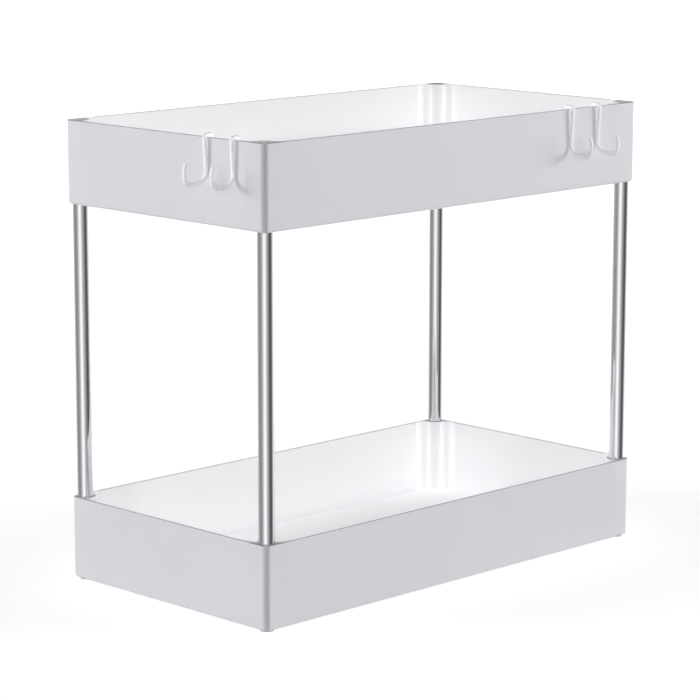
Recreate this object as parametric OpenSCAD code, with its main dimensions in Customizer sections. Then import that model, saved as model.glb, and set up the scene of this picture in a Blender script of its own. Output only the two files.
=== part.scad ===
// Two-tier under-sink rack: two flat-packed trays on four steel tubes, with four rim hooks.
// Millimetres, +Z up. The origin is on the ground under the middle of the rack.
// X runs along the long side, and the long front wall faces -Y.

/* [Rack] */
// Length of the rack, along X
rack_l = 400; // [300:5:600]
// Depth of the rack, along Y
rack_d = 215; // [160:1:320]
// Height from the ground to the upper rim
rack_h = 350; // [260:5:600]

/* [Trays] */
// Height of each tray, from its underside to its rim
tray_h = 63; // [50:1:90]
// Thickness of the wall panels
wall_t = 2.2; // [1.8:0.1:2.6]
// Radius of the upright outer corners
corner_r = 4.5; // [4:0.5:5]
// Radius of the lower outer edge
edge_r = 2.6; // [2:0.1:3]
// Thickness of the floor board
floor_t = 2; // [1.6:0.2:3]
// Width of the flange that carries the floor board
flange_w = 9; // [8:1:12]

/* [Corner posts] */
// Outer radius of the sleeve round the tube
sleeve_r = 7.8; // [7.5:0.1:8]
// Distance of the tube's axis from both outer faces
tube_inset = 7.5; // [7.2:0.1:8]
// Radius of the hollow curve between the sleeve and the walls
fillet_r = 5; // [4:0.5:6]
// Length of the post's wings on the outside
wing_outer = 18; // [16:1:20]
// Length of the post's wings on the inside, with the snap tongue
wing_inner = 26; // [24:1:30]

/* [Tubes] */
// Outer diameter of the steel tubes
tube_d = 12; // [11:0.5:12]
// Wall thickness of the steel tubes
tube_wall = 0.8; // [0.6:0.1:1.5]

/* [Hooks] */
// Diameter of the hook wire
wire_d = 2.9; // [2:0.1:3]
// Radius of the lower bend at the shank, at the middle of the wire
shank_r = 8; // [6:0.5:9]
// Radius of the lower bend at the tip, at the middle of the wire
tip_r = 6; // [4:0.5:7]
// Width of the hook, from the middle of the shank to the middle of the outer leg
hook_w = 20.6; // [18:0.2:24]
// Straight stretch of the outer leg
leg_l = 2; // [1:0.5:4]
// Radius of the outer leg's curve up to its tip
leg_r = 12; // [10:1:20]
// Length of the side hooks' shank, from the rim to the lower bend
side_shank = 25; // [18:0.5:28]
// Length of the front hooks' shank, from the rim to the lower bend
front_shank = 28; // [18:0.5:28]
// Length of the short leg inside the wall
inner_leg = 9; // [7:0.5:12]
// Places of the two side hooks, from the near corner
side_hooks = [30, 58]; // [24:1:180]
// Places of the two front hooks, from the right corner
front_hooks = [48, 79]; // [24:1:180]

/* [Foot pads] */
// Diameter of the foot pads
pad_d = 10; // [8:0.5:10]
// Height of the rack's underside above the ground
pad_stand = 1; // [0.6:0.1:2]

/* [Hidden] */

$fn = 64;
eps = 0.01;
gap = 0.05;              // slack in every push fit
half_t = wall_t / 2;     // the lap joint halves the wall
rim_r = 0.7;             // rounding of the upper edges
bead_r = 0.4;            // snap bead on the tongue
bead_back = 3;           // distance of the bead from the tongue's end
groove = 0.4;            // bevel on both sides of the seam inside the tray
cap_t = 3;               // plastic above the blind socket of an upper post
pad_t = 2.2;             // thickness of a foot pad
pad_recess = pad_t - pad_stand;
socket_floor = pad_recess + 2;
lower_z = pad_stand;
upper_z = rack_h - tray_h;
tube_bottom = lower_z + socket_floor;
tube_top = rack_h - cap_t;
board_gap = 0.2;         // slack between the floor board and the walls
rib_w = 1.2;
rib_h = 1.4;
rib_pitch = 34;
rib_margin = 3;          // ribs keep this far from the flange
bend_r = 2;              // radius of the hook's bends over the rim, at the middle of the wire
clip_w = 7.3;            // distance between the hook's inner leg and its shank, middle to middle
rim_slack = 0.1;         // air between the hook and the wall, at both places where it leans on it
hook_lean = 3.5;         // degrees that the hanging hook leans back to the wall
tip_turn = 35;           // degrees that the outer leg turns in, before the hook leans
hook_touch = wire_d / 2 + rim_slack;

white = [0.93, 0.93, 0.94];
steel = [0.72, 0.73, 0.75];
enamel = [0.97, 0.97, 0.98];
rubber_grey = [0.35, 0.35, 0.36];

// Moves a corner piece drawn for the front left corner to any corner: sx and sy are -1 or 1.
module at_corner(sx, sy) {
    mirror([sx > 0 ? 1 : 0, 0, 0])
        mirror([0, sy > 0 ? 1 : 0, 0])
            translate([-rack_l / 2, -rack_d / 2, 0])
                children();
}

// The area between the sleeve and one wall, filled up to a hollow curve.
module fillet_area(sleeve, wall) {
    rise = wall + fillet_r;
    reach = tube_inset + sqrt(pow(sleeve + fillet_r, 2) - pow(rise - tube_inset, 2));
    difference() {
        polygon([
            [tube_inset, tube_inset],
            [reach, rise],
            [reach, wall - half_t],
            [tube_inset, wall - half_t]
        ]);
        translate([reach, rise])
            circle(fillet_r);
    }
}

// Sleeve and both hollow curves, seen from above. grow widens it for the floor board's notch.
module column_area(grow) {
    sleeve = sleeve_r + grow;
    wall = wall_t + grow;
    translate([tube_inset, tube_inset])
        circle(sleeve);
    fillet_area(sleeve, wall);
    mirror([1, -1])
        fillet_area(sleeve, wall);
}

// Quarter outline of the tray with its rounded corner, large enough to hold a post.
module corner_outline() {
    size = wing_inner + 2 * fillet_r;
    translate([corner_r, corner_r])
        circle(corner_r);
    translate([corner_r, 0])
        square([size, size]);
    translate([0, corner_r])
        square([size, size]);
}

// One wing along X: the outer half ends at the outer seam, the inner half is the snap tongue.
module wing_area() {
    tongue_end = wing_inner - gap;
    square([wing_outer - gap, half_t + eps]);
    polygon([
        [0, half_t + gap],
        [tongue_end, half_t + gap],
        [tongue_end, wall_t - groove],
        [tongue_end - groove, wall_t],
        [0, wall_t]
    ]);
    translate([0, half_t - eps])
        square([wing_outer - gap, gap + 2 * eps]);
    intersection() {
        translate([wing_inner - bead_back, half_t + gap])
            circle(bead_r);
        square([wing_inner, half_t + 2 * gap]);
    }
}

module post_area() {
    intersection() {
        union() {
            wing_area();
            mirror([1, -1])
                wing_area();
            column_area(0);
            square([tube_inset, tube_inset]);
        }
        corner_outline();
    }
}

// Cuts a rounding of radius r along the lower outer edges of a post.
module edge_cutter(r) {
    long = wing_inner + 1;
    difference() {
        translate([-1, -1, -1])
            cube([long + 1, long + 1, r + 1]);
        translate([corner_r, r, r])
            rotate([0, 90, 0])
                cylinder(r = r, h = long);
        translate([r, corner_r, r])
            rotate([-90, 0, 0])
                cylinder(r = r, h = long);
        translate([corner_r, corner_r, r])
            rotate_extrude()
                intersection() {
                    union() {
                        translate([corner_r - r, 0])
                            circle(r);
                        translate([0, -r])
                            square([corner_r - r, r]);
                    }
                    translate([0, -r])
                        square([corner_r, r]);
                }
        translate([corner_r, r, -2])
            cube([long, long, r + 3]);
        translate([r, corner_r, -2])
            cube([long, long, r + 3]);
    }
}

// A corner post between z = 0 and z = tray_h. The tube's socket runs from socket_from to socket_to.
module post(socket_from, socket_to, recess) {
    difference() {
        union() {
            linear_extrude(tray_h)
                post_area();
            linear_extrude(wall_t)
                intersection() {
                    union() {
                        square([wing_inner - gap, flange_w]);
                        square([flange_w, wing_inner - gap]);
                    }
                    corner_outline();
                }
        }
        edge_cutter(edge_r);
        translate([0, 0, tray_h])
            mirror([0, 0, 1])
                edge_cutter(rim_r);
        translate([tube_inset, tube_inset, socket_from])
            cylinder(d = tube_d + 2 * gap, h = socket_to - socket_from);
        translate([tube_inset, tube_inset, -1])
            cylinder(d = pad_d + 2 * gap, h = recess + 1);
    }
}

module lower_post() {
    color(white)
        translate([0, 0, lower_z])
            post(socket_floor, tray_h + 1, pad_recess);
}

module upper_post() {
    color(white)
        translate([0, 0, upper_z])
            post(-1, tray_h - cap_t, -1);
}

// Section of a wall panel: outer face at x = 0, flange inward at the foot, both upper edges rounded.
module wall_section() {
    difference() {
        union() {
            square([wall_t, tray_h - rim_r]);
            translate([rim_r, tray_h - rim_r])
                circle(rim_r);
            translate([wall_t - rim_r, tray_h - rim_r])
                circle(rim_r);
            translate([rim_r, tray_h - rim_r])
                square([wall_t - 2 * rim_r, rim_r]);
            square([flange_w, wall_t]);
        }
        difference() {
            translate([-1, -1])
                square([edge_r + 1, edge_r + 1]);
            translate([edge_r, edge_r])
                circle(edge_r);
        }
    }
}

// A wall panel of a side that is side_l long, running along X from the corner at the origin.
module wall_panel(side_l) {
    difference() {
        translate([wing_outer, 0, 0])
            rotate([90, 0, 90])
                linear_extrude(side_l - 2 * wing_outer)
                    wall_section();
        for (end = [0, 1])
            translate([end * side_l, 0, 0])
                mirror([end, 0, 0])
                    tongue_cutter();
    }
}

// Clears the inner half of a panel's end for the post's tongue and its bead, and bevels the seam.
module tongue_cutter() {
    translate([0, half_t, -1])
        cube([wing_inner, flange_w, tray_h + 2]);
    translate([wing_inner, wall_t, wall_t])
        linear_extrude(tray_h)
            polygon([[-eps, -groove - eps], [groove + eps, eps], [-eps, eps]]);
    translate([wing_inner - bead_back, half_t, -1])
        cylinder(r = bead_r + gap, h = tray_h + 2);
}

module long_wall() {
    color(white)
        translate([-rack_l / 2, -rack_d / 2, 0])
            wall_panel(rack_l);
}

module short_wall() {
    color(white)
        translate([-rack_l / 2, -rack_d / 2, 0])
            mirror([1, -1, 0])
                wall_panel(rack_d);
}

module board_outline() {
    inset = wall_t + board_gap;
    difference() {
        translate([-rack_l / 2 + inset, -rack_d / 2 + inset])
            square([rack_l - 2 * inset, rack_d - 2 * inset]);
        for (sx = [-1, 1], sy = [-1, 1])
            at_corner(sx, sy)
                column_area(board_gap);
    }
}

// Floor board: it lies on the flanges, and its ribs hang between them.
module floor_board() {
    span_l = rack_l - 2 * (flange_w + rib_margin);
    span_d = rack_d - 2 * (flange_w + rib_margin);
    count_l = floor(span_l / 2 / rib_pitch);
    count_d = floor(span_d / 2 / rib_pitch);
    color(white) {
        translate([0, 0, wall_t])
            linear_extrude(floor_t)
                board_outline();
        translate([0, 0, wall_t - rib_h]) {
            for (i = [-count_l : count_l])
                translate([i * rib_pitch - rib_w / 2, -span_d / 2, 0])
                    cube([rib_w, span_d, rib_h + eps]);
            for (i = [-count_d : count_d])
                translate([-span_l / 2, i * rib_pitch - rib_w / 2, 0])
                    cube([span_l, rib_w, rib_h + eps]);
        }
    }
}

module tube() {
    color(steel)
        translate([tube_inset, tube_inset, tube_bottom])
            difference() {
                cylinder(d = tube_d, h = tube_top - tube_bottom);
                translate([0, 0, -1])
                    cylinder(d = tube_d - 2 * tube_wall, h = tube_top - tube_bottom + 2);
            }
}

module foot_pad() {
    color(rubber_grey)
        translate([tube_inset, tube_inset, 0])
            cylinder(d = pad_d, h = pad_t);
}

// An arc of wire in the XZ plane round the origin, from one angle on through a sweep, in degrees.
module wire_arc(radius, from, sweep) {
    rotate([90, 0, 0])
        rotate([0, 0, from])
            rotate_extrude(angle = sweep)
                translate([radius, 0])
                    circle(d = wire_d);
}

// The bent wire, drawn upright in the XZ plane. Its stretch over the rim lies at z = 0.
module hook_wire(shank_l) {
    $fn = 48;
    half = clip_w / 2;
    foot_z = -shank_l - shank_r;
    translate([-half, 0, -inner_leg])
        cylinder(d = wire_d, h = inner_leg - bend_r);
    translate([bend_r - half, 0, -bend_r])
        wire_arc(bend_r, 90, 90);
    translate([bend_r - half, 0, 0])
        rotate([0, 90, 0])
            cylinder(d = wire_d, h = clip_w - 2 * bend_r);
    translate([half - bend_r, 0, -bend_r])
        wire_arc(bend_r, 0, 90);
    translate([half, 0, -shank_l])
        cylinder(d = wire_d, h = shank_l - bend_r);
    translate([half + shank_r, 0, -shank_l])
        wire_arc(shank_r, 180, 90);
    translate([half + shank_r, 0, foot_z])
        rotate([0, 90, 0])
            cylinder(d = wire_d, h = hook_w - shank_r - tip_r);
    translate([half + hook_w - tip_r, 0, foot_z + tip_r])
        wire_arc(tip_r, 270, 90);
    translate([half + hook_w, 0, foot_z + tip_r])
        cylinder(d = wire_d, h = leg_l);
    translate([half + hook_w - leg_r, 0, foot_z + tip_r + leg_l])
        wire_arc(leg_r, 0, tip_turn);
}

// The hook as it hangs: it leans until the shank meets the wall, with its bend on the rim's outer edge.
// X points away from the wall's outer face.
module hook(shank_l) {
    lean = hook_lean;
    out = shank_r + hook_touch - (clip_w / 2 + shank_r) * cos(lean) + shank_l * sin(lean);
    up = (rim_r + hook_touch - (out + rim_r) * sin(lean)) / cos(lean) - rim_r;
    color(enamel)
        translate([out, 0, rack_h + up])
            rotate([0, lean, 0])
                hook_wire(shank_l);
}

module side_hook(place) {
    translate([-rack_l / 2, -rack_d / 2 + place, 0])
        mirror([1, 0, 0])
            hook(side_shank);
}

module front_hook(place) {
    translate([rack_l / 2 - place, -rack_d / 2, 0])
        rotate([0, 0, -90])
            hook(front_shank);
}

module lower_tier() {
    translate([0, 0, lower_z])
        children();
}

module upper_tier() {
    translate([0, 0, upper_z])
        children();
}

lower_tier() floor_board();  // lower_floor
lower_tier() long_wall();  // lower_wall_front
lower_tier() mirror([0, 1, 0]) long_wall();  // lower_wall_back
lower_tier() short_wall();  // lower_wall_left
lower_tier() mirror([1, 0, 0]) short_wall();  // lower_wall_right
at_corner(-1, -1) lower_post();  // lower_post_front_left
at_corner(1, -1) lower_post();  // lower_post_front_right
at_corner(-1, 1) lower_post();  // lower_post_back_left
at_corner(1, 1) lower_post();  // lower_post_back_right
upper_tier() floor_board();  // upper_floor
upper_tier() long_wall();  // upper_wall_front
upper_tier() mirror([0, 1, 0]) long_wall();  // upper_wall_back
upper_tier() short_wall();  // upper_wall_left
upper_tier() mirror([1, 0, 0]) short_wall();  // upper_wall_right
at_corner(-1, -1) upper_post();  // upper_post_front_left
at_corner(1, -1) upper_post();  // upper_post_front_right
at_corner(-1, 1) upper_post();  // upper_post_back_left
at_corner(1, 1) upper_post();  // upper_post_back_right
at_corner(-1, -1) tube();  // tube_front_left
at_corner(1, -1) tube();  // tube_front_right
at_corner(-1, 1) tube();  // tube_back_left
at_corner(1, 1) tube();  // tube_back_right
side_hook(side_hooks[0]);  // hook_side_near
side_hook(side_hooks[1]);  // hook_side_far
front_hook(front_hooks[1]);  // hook_front_far
front_hook(front_hooks[0]);  // hook_front_near
at_corner(-1, -1) foot_pad();  // foot_pad_front_left
at_corner(1, -1) foot_pad();  // foot_pad_front_right
at_corner(-1, 1) foot_pad();  // foot_pad_back_left
at_corner(1, 1) foot_pad();  // foot_pad_back_right
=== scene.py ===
import bpy
import bmesh
import math
from mathutils import Matrix, Vector

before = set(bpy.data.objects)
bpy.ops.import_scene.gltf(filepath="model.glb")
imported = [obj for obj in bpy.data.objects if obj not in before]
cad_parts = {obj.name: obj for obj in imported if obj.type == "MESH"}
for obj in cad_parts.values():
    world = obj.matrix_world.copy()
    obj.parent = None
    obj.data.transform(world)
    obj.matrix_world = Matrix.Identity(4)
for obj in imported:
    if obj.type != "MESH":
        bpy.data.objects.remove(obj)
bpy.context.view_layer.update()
print("frame loaded:", len(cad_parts), "nodes")

mm = 0.001
scene = bpy.context.scene


def linearColour(code):
    # sRGB hex to linear light, with alpha 1
    channels = [int(code[i:i + 2], 16) / 255 for i in (1, 3, 5)]
    return tuple(c / 12.92 if c <= 0.04045 else ((c + 0.055) / 1.055) ** 2.4 for c in channels) + (1.0,)


def addNode(tree, kind, settings=None, links=None):
    # settings hold properties and socket values by name, links hold what feeds each socket
    node = tree.nodes.new(kind)
    for name, value in (settings or {}).items():
        if isinstance(name, str) and hasattr(node, name):
            setattr(node, name, value)
        else:
            node.inputs[name].default_value = value
    for name, source in (links or {}).items():
        tree.links.new(source, node.inputs[name])
    return node


def newMaterial(name):
    material = bpy.data.materials.new(name)
    material.use_nodes = True
    tree = material.node_tree
    tree.nodes.clear()
    return material, tree


def blendTones(tree, spec, dark, light, share):
    # colour between two of the spec's hex codes
    return addNode(tree, "ShaderNodeMix",
                   {"data_type": "RGBA", 6: linearColour(spec[dark]), 7: linearColour(spec[light])},
                   {0: share}).outputs[2]


def blendRoughness(tree, spec, share):
    low, high = spec["roughness"]
    return addNode(tree, "ShaderNodeMapRange", {"To Min": low, "To Max": high}, {"Value": share}).outputs[0]


def finishSkin(tree, settings, tone, rough, normal=None):
    links = {"Base Color": tone, "Roughness": rough}
    if normal:
        links["Normal"] = normal
    skin = addNode(tree, "ShaderNodeBsdfPrincipled", settings, links)
    addNode(tree, "ShaderNodeOutputMaterial", None, {"Surface": skin.outputs[0]})


def nodesWith(*words):
    return [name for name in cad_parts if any(word in name for word in words)]


cameraSpec = {
    "place": (-1.5645, -1.5594, 0.5855),   # metres from the middle of the footprint
    "azimuth": -44.924,                    # degrees
    "elevation": 10.800,
    "roll": 0.046,
    "lens": 149.59,                        # mm
    "sensor": 36,                          # mm
    "clip": (0.05, 50),                    # metres
}


def makeCamera(spec):
    turn, rise, roll = (math.radians(spec[key]) for key in ("azimuth", "elevation", "roll"))
    back = Vector((math.sin(turn) * math.cos(rise), -math.cos(turn) * math.cos(rise), math.sin(rise)))
    right = (-back).cross(Vector((0, 0, 1))).normalized()
    up = right.cross(-back)
    c, s = math.cos(roll), math.sin(roll)
    axes = Matrix((c * right + s * up, -s * right + c * up, back)).transposed()
    data = bpy.data.cameras.new("camera")
    data.lens = spec["lens"]
    data.sensor_width = spec["sensor"]
    data.clip_start, data.clip_end = spec["clip"]
    camera = bpy.data.objects.new("camera", data)
    camera.matrix_world = Matrix.Translation(spec["place"]) @ axes.to_4x4()
    scene.collection.objects.link(camera)
    scene.camera = camera


makeCamera(cameraSpec)
print("camera placed")


# Moulded polypropylene, satin from a spark-eroded mould: a soft wide sheen, a hint of cool grey
# in the white, and slow clouds of tone where the melt flowed. The colour paints the insides whiter, as painted light,
# and a thin grey line of painted shade along the outer lip of the rims.
whitePlastic = {
    "name": "mouldedPolypropylene",
    "light": "#e6e5ea",
    "dark": "#e1e0e6",
    # painted light: the insides are drawn whiter than the outer faces, lit and shaded tones of one plastic
    "paintedLitInsideLight": "#fafafb",
    "paintedLitInsideDark": "#f6f6f8",
    "outside": (0.2, 0.1075),  # metres from the middle to the outer faces
    "skin": (0.4, 1.2),        # mm of the wall over which the darker outer tone gives way to the whiter inside tone of painted light
    "edge": "#a4a4ac",         # painted shade: a grey line along the outer lip of the rims
    "rims": (0.064, 0.350),    # metres, heights of the two rims
    "edgeDepth": (0.35, 0.65), # mm below the rim over which the painted shade line fades out
    "ior": 1.49,
    "roughness": (0.36, 0.44),
    "cloudSize": 45,          # mm, width of the clouds
    "grainSize": 0.9,         # mm; the real grain is 0.1 mm, drawn coarser so that it shows
    "grainHeight": 0.010,     # mm
}


def makePlastic(spec):
    material, tree = newMaterial(spec["name"])
    place = addNode(tree, "ShaderNodeTexCoord").outputs["Object"]
    cloud = addNode(tree, "ShaderNodeTexNoise", {"Scale": 1 / (spec["cloudSize"] * mm), "Detail": 2.0},
                    {"Vector": place}).outputs["Fac"]
    grain = addNode(tree, "ShaderNodeTexNoise", {"Scale": 1 / (spec["grainSize"] * mm), "Detail": 3.0},
                    {"Vector": place}).outputs["Fac"]
    outer = blendTones(tree, spec, "dark", "light", cloud)
    paintedLitInnerTone = blendTones(tree, spec, "paintedLitInsideDark", "paintedLitInsideLight", cloud)

    # how deep a point lies behind the nearer outer face
    across = addNode(tree, "ShaderNodeSeparateXYZ", None, {"Vector": place})
    depths = []
    for axis, reach in zip("XY", spec["outside"]):
        away = addNode(tree, "ShaderNodeMath", {"operation": "ABSOLUTE"}, {0: across.outputs[axis]})
        depths.append(addNode(tree, "ShaderNodeMath", {"operation": "SUBTRACT", 0: reach}, {1: away.outputs[0]}))
    depth = addNode(tree, "ShaderNodeMath", {"operation": "MINIMUM"},
                    {0: depths[0].outputs[0], 1: depths[1].outputs[0]})
    near, far = spec["skin"]
    paintedLitInsideShare = addNode(tree, "ShaderNodeMapRange", {"From Min": near * mm, "From Max": far * mm},
                     {"Value": depth.outputs[0]})

    # painted shade: a thin grey line on the outer faces just under each rim
    near, far = spec["edgeDepth"]
    rims = []
    for height in spec["rims"]:
        below = addNode(tree, "ShaderNodeMath", {"operation": "SUBTRACT", 1: height}, {0: across.outputs["Z"]})
        below = addNode(tree, "ShaderNodeMath", {"operation": "ABSOLUTE"}, {0: below.outputs[0]})
        rims.append(addNode(tree, "ShaderNodeMapRange", {"From Min": far * mm, "From Max": near * mm},
                            {"Value": below.outputs[0]}))
    rim = addNode(tree, "ShaderNodeMath", {"operation": "MAXIMUM"}, {0: rims[1].outputs[0], 1: rims[0].outputs[0]})
    edge = addNode(tree, "ShaderNodeMath", {"operation": "SUBTRACT", "use_clamp": True},
                   {0: rim.outputs[0], 1: paintedLitInsideShare.outputs[0]})

    # painted light: the insides take the whiter tone, the outer faces the darker one
    tone = addNode(tree, "ShaderNodeMix", {"data_type": "RGBA"}, {0: paintedLitInsideShare.outputs[0], 6: outer, 7: paintedLitInnerTone})
    # the grey line of painted shade goes over the outer tone
    tone = addNode(tree, "ShaderNodeMix", {"data_type": "RGBA", 7: linearColour(spec["edge"])},
                   {0: edge.outputs[0], 6: tone.outputs[2]})
    bump = addNode(tree, "ShaderNodeBump", {"Distance": spec["grainHeight"] * mm, "Strength": 1.0}, {"Height": grain})
    finishSkin(tree, {"IOR": spec["ior"]}, tone.outputs[2], blendRoughness(tree, spec, grain), bump.outputs[0])
    return material


# Welded stainless tube, polished along its length: a mirror that is drawn out into fine upright lines.
tubeSteel = {
    "name": "polishedStainlessSteel",
    "light": "#e8e9eb",
    "dark": "#dedfe2",
    "roughness": (0.05, 0.10),
    "lineWidth": 0.35,        # mm; polishing lines are finer, drawn coarser so that they show
    "lineLength": 60,         # mm
}


def makeSteel(spec):
    material, tree = newMaterial(spec["name"])
    place = addNode(tree, "ShaderNodeTexCoord").outputs["Object"]
    width, length = spec["lineWidth"] * mm, spec["lineLength"] * mm
    stretch = addNode(tree, "ShaderNodeMapping", {"Scale": (1 / width, 1 / width, 1 / length)}, {"Vector": place})
    lines = addNode(tree, "ShaderNodeTexNoise", {"Scale": 1.0, "Detail": 2.0},
                    {"Vector": stretch.outputs[0]}).outputs["Fac"]
    tone = blendTones(tree, spec, "dark", "light", lines)
    finishSkin(tree, {"Metallic": 1.0}, tone, blendRoughness(tree, spec, lines))
    return material


# Powder-coated spring wire: a thick white skin with a faint orange peel, a little glossier than the trays.
hookCoat = {
    "name": "powderCoatedWire",
    "light": "#f4f4f6",
    "dark": "#eeeef1",
    "ior": 1.5,
    "roughness": (0.22, 0.32),
    "peelSize": 1.4,          # mm between the dimples
    "peelHeight": 0.02,       # mm
}


def makeCoat(spec):
    material, tree = newMaterial(spec["name"])
    place = addNode(tree, "ShaderNodeTexCoord").outputs["Object"]
    peel = addNode(tree, "ShaderNodeTexNoise", {"Scale": 1 / (spec["peelSize"] * mm), "Detail": 1.0},
                   {"Vector": place}).outputs["Fac"]
    tone = blendTones(tree, spec, "dark", "light", peel)
    bump = addNode(tree, "ShaderNodeBump", {"Distance": spec["peelHeight"] * mm}, {"Height": peel})
    finishSkin(tree, {"IOR": spec["ior"]}, tone, blendRoughness(tree, spec, peel), bump.outputs[0])
    return material


# Moulded rubber for the foot pads: dull, mid grey and dry, with a fine leathery grain.
padRubber = {
    "name": "mouldedRubber",
    "light": "#a3a4a6",
    "dark": "#96979a",
    "ior": 1.52,
    "roughness": (0.68, 0.85),
    "grainSize": 0.6,         # mm
    "grainHeight": 0.05,      # mm
}


def makeRubber(spec):
    material, tree = newMaterial(spec["name"])
    place = addNode(tree, "ShaderNodeTexCoord").outputs["Object"]
    grain = addNode(tree, "ShaderNodeTexVoronoi", {"Scale": 1 / (spec["grainSize"] * mm)},
                    {"Vector": place}).outputs["Distance"]
    tone = blendTones(tree, spec, "dark", "light", grain)
    bump = addNode(tree, "ShaderNodeBump", {"Distance": spec["grainHeight"] * mm}, {"Height": grain})
    finishSkin(tree, {"IOR": spec["ior"]}, tone, blendRoughness(tree, spec, grain), bump.outputs[0])
    return material


dress = {
    makePlastic(whitePlastic): nodesWith("wall", "post", "floor"),
    makeSteel(tubeSteel): nodesWith("tube"),
    makeCoat(hookCoat): nodesWith("hook"),
    makeRubber(padRubber): nodesWith("foot"),
}
for material, names in dress.items():
    for name in names:
        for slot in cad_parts[name].material_slots:
            slot.material = material
print("materials assigned")


studio = {
    "floorColour": "#f2f2f2",
    "floorGlow": 0.635,       # share of plain white that the camera sees in the floor
    "floorSize": 24.0,        # metres
    "glowReach": (0.45, 1.6), # metres from the middle where the floor starts to fade and is plain white
    "worldLevel": 0.13,
    "aim": (0, 0, 0.18),      # metres
}

# Pieces that a lamp lights, or that shade it, as flags would do in a studio. Each key lamp lights the outer
# faces turned to it and stays off the insides of the far walls, which take an even white from fill lamps of their own
# and from the whiter tone painted on the insides.
groups = {
    "leftSide": nodesWith("wall_left", "wall_front", "wall_back", "post_front_left", "post_back_left",
                          "tube", "hook", "foot"),
    "rightSide": nodesWith("wall_left", "wall_front", "wall_right", "post_front_left", "post_front_right",
                           "tube", "hook", "foot"),
    "backInside": nodesWith("wall_back", "post_back_left"),
    "rightInside": nodesWith("wall_right", "post_front_right"),
    "farPosts": nodesWith("post_back_right"),
    "boards": nodesWith("floor"),
    "nearRims": nodesWith("wall_front", "wall_left"),
    "nearPosts": nodesWith("post_front_left", "post_back_left", "post_front_right"),
    "wires": nodesWith("hook"),
    "rack": nodesWith("tube", "wall", "post", "floor", "foot"),
    "pads": nodesWith("foot"),
}
litFloor = ("leftSide", "rightSide")       # these groups take in the studio floor too

# Way out from the aim, distance in metres, width and height in metres, watts, the group that it lights, and
# the group that shades it where not everything does. Part of the key light passes the hooks, whose shadows are
# faint in the photo; lamps shaded by the pads alone reach what lies behind walls and boards.
lamps = {
    "left": ((-0.77, 0.635, 0.18), 8.0, (4.2, 2.6), 303, "leftSide", None),
    "leftSoft": ((-0.77, 0.635, 0.18), 8.0, (4.2, 2.6), 226, "leftSide", "rack"),
    "right": ((0.74, -0.68, 0.16), 8.0, (4.2, 2.6), 320, "rightSide", None),
    "rightSoft": ((0.74, -0.68, 0.16), 8.0, (4.2, 2.6), 242, "rightSide", "rack"),
    "tops": ((0.0, 0.0, 1.0), 3.0, (1.2, 1.2), 46, "nearRims", "pads"),
    "caps": ((0.0, 0.0, 1.0), 3.0, (1.2, 1.2), 10, "nearPosts", "pads"),
    "backFill": ((-0.10, -0.95, 0.30), 3.0, (1.2, 0.8), 48, "backInside", None),
    "rightFill": ((-0.95, -0.10, 0.30), 3.0, (1.2, 0.8), 49, "rightInside", None),
    "cornerLeft": ((-0.85, 0.45, 0.08), 3.0, (0.8, 0.8), 54, "farPosts", "pads"),
    "cornerRight": ((0.45, -0.85, 0.08), 3.0, (0.8, 0.8), 54, "farPosts", "pads"),
    "boards": ((-0.30, -0.30, 0.90), 3.0, (1.2, 1.2), 48, "boards", "pads"),
    "front": ((-0.70, -0.71, 0.35), 3.0, (0.8, 0.8), 34, "wires", None),
    "behind": ((0.83, 0.56, 0.18), 5.0, (1.8, 1.8), 112, "farPosts", None),
}

# What polished steel sees round the rack: the white backdrop, a lamp beside the camera, and a dark flag
# at either side. Each pair is degrees to the right of the camera and a level, where 1 is white.
reflections = [
    (-180, 1.25), (-150, 1.2), (-128, 0.7), (-102, 0.42), (-74, 0.27), (-52, 0.47), (-36, 0.7), (-22, 1.15),
    (-9, 1.3), (3, 1.05), (17, 0.65), (31, 0.44), (45, 0.25), (60, 0.12), (77, 0.09), (94, 0.29),
    (116, 0.95), (150, 1.25), (180, 1.25),
]
# A dark ceiling above the horizon keeps the flat tops of the rims and posts from mirroring the backdrop.
overheadFlag = {"from": (-0.02, 0.14), "level": 0.12}


def seenRays(tree):
    # the light path, and 1 for what the camera sees straight, in a mirror or through something clear
    rays = addNode(tree, "ShaderNodeLightPath")
    seen = addNode(tree, "ShaderNodeMath", {"operation": "MAXIMUM"},
                   {0: rays.outputs["Is Camera Ray"], 1: rays.outputs["Is Glossy Ray"]})
    seen = addNode(tree, "ShaderNodeMath", {"operation": "MAXIMUM"},
                   {0: seen.outputs[0], 1: rays.outputs["Is Transmission Ray"]})
    return rays, seen.outputs[0]


def makeFloor(spec):
    mesh = bpy.data.meshes.new("floor")
    form = bmesh.new()
    bmesh.ops.create_grid(form, x_segments=1, y_segments=1, size=spec["floorSize"] / 2)
    form.to_mesh(mesh)
    form.free()
    floor = bpy.data.objects.new("floor", mesh)
    scene.collection.objects.link(floor)
    floor.visible_glossy = False       # polished steel sees the studio all round, not the floor
    material, tree = newMaterial("studioFloor")
    seen = seenRays(tree)[1]
    place = addNode(tree, "ShaderNodeTexCoord").outputs["Object"]
    away = addNode(tree, "ShaderNodeVectorMath", {"operation": "LENGTH"}, {0: place})
    near, far = spec["glowReach"]
    share = addNode(tree, "ShaderNodeMapRange",
                    {"interpolation_type": "SMOOTHSTEP", "From Min": near, "From Max": far,
                     "To Min": spec["floorGlow"], "To Max": 1.0},
                    {"Value": away.outputs["Value"]})
    glow = addNode(tree, "ShaderNodeMath", {"operation": "MULTIPLY"}, {0: seen, 1: share.outputs[0]})
    paint = addNode(tree, "ShaderNodeBsdfDiffuse", {"Color": linearColour(spec["floorColour"])})
    white = addNode(tree, "ShaderNodeEmission", {"Color": (1, 1, 1, 1)}, {"Strength": glow.outputs[0]})
    both = addNode(tree, "ShaderNodeAddShader", None, {0: paint.outputs[0], 1: white.outputs[0]})
    addNode(tree, "ShaderNodeOutputMaterial", None, {"Surface": both.outputs[0]})
    mesh.materials.append(material)
    return floor


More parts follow.
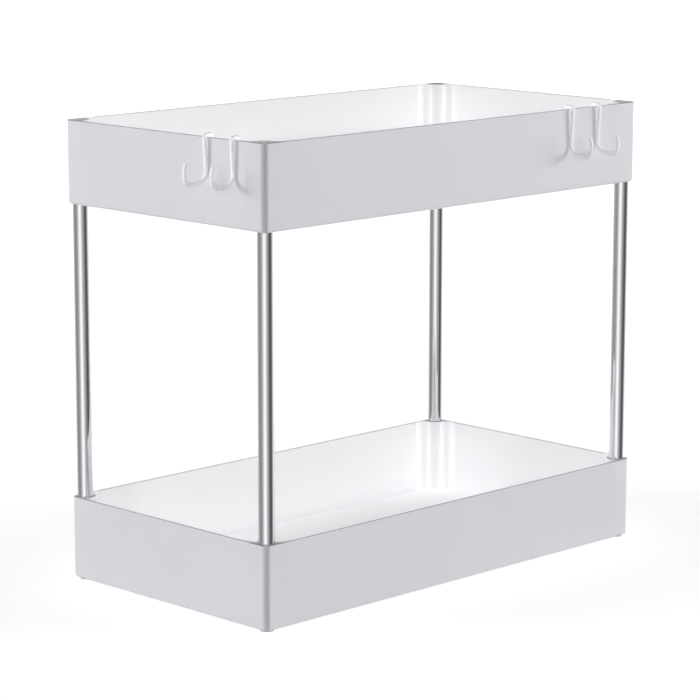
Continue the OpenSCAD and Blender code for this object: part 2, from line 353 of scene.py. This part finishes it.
def makeWorld(spec):
    world = bpy.data.worlds.new("studio")
    world.use_nodes = True
    tree = world.node_tree
    tree.nodes.clear()
    rays, seen = seenRays(tree)
    toward = addNode(tree, "ShaderNodeTexCoord").outputs["Generated"]
    turned = addNode(tree, "ShaderNodeMapping", {"Rotation": (0, 0, math.radians(90 - cameraSpec["azimuth"]))},
                     {"Vector": toward})
    around = addNode(tree, "ShaderNodeTexGradient", {"gradient_type": "RADIAL"}, {"Vector": turned.outputs[0]})
    ramp = addNode(tree, "ShaderNodeValToRGB", None, {"Fac": around.outputs["Fac"]})
    brightest = max(level for angle, level in reflections)
    stops = ramp.color_ramp.elements
    for angle, level in reflections:
        stop = stops[0] if angle == -180 else stops[-1] if angle == 180 else stops.new(angle / 360 + 0.5)
        stop.color = (level / brightest,) * 3 + (1,)
    gloss = addNode(tree, "ShaderNodeMath", {"operation": "MULTIPLY", 1: brightest}, {0: ramp.outputs["Color"]})
    height = addNode(tree, "ShaderNodeSeparateXYZ", None, {"Vector": toward})
    low, high = overheadFlag["from"]
    veil = addNode(tree, "ShaderNodeMapRange",
                   {"interpolation_type": "SMOOTHSTEP", "From Min": low, "From Max": high,
                    "To Min": 1.0, "To Max": overheadFlag["level"]},
                   {"Value": height.outputs["Z"]})
    gloss = addNode(tree, "ShaderNodeMath", {"operation": "MULTIPLY"}, {0: gloss.outputs[0], 1: veil.outputs[0]})
    plain = addNode(tree, "ShaderNodeMapRange", {"To Min": spec["worldLevel"], "To Max": 1.0}, {"Value": seen})
    level = addNode(tree, "ShaderNodeMix", None,
                    {0: rays.outputs["Is Glossy Ray"], 2: plain.outputs[0], 3: gloss.outputs[0]})
    sky = addNode(tree, "ShaderNodeBackground", {"Color": (1, 1, 1, 1)}, {"Strength": level.outputs[0]})
    addNode(tree, "ShaderNodeOutputWorld", None, {"Surface": sky.outputs[0]})
    scene.world = world


def lightStudio(aim, floor):
    links = {}
    for group, names in groups.items():
        links[group] = bpy.data.collections.new(group)
        for name in names:
            links[group].objects.link(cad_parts[name])
    for group in litFloor:
        links[group].objects.link(floor)
    for name, (toward, distance, size, power, lit, shade) in lamps.items():
        data = bpy.data.lights.new(name + "Lamp", "AREA")
        data.shape = "RECTANGLE"
        data.size, data.size_y = size
        data.energy = power
        lamp = bpy.data.objects.new(name + "Lamp", data)
        way = Vector(toward).normalized()
        lamp.location = aim + way * distance
        lamp.rotation_euler = (-way).to_track_quat("-Z", "Y").to_euler()
        scene.collection.objects.link(lamp)
        lamp.visible_camera = False
        lamp.visible_glossy = False
        lamp.light_linking.receiver_collection = links[lit]
        if shade:
            lamp.light_linking.blocker_collection = links[shade]


studioFloor = makeFloor(studio)
makeWorld(studio)
lightStudio(Vector(studio["aim"]), studioFloor)
scene.view_settings.view_transform = "Standard"
print("studio lit")
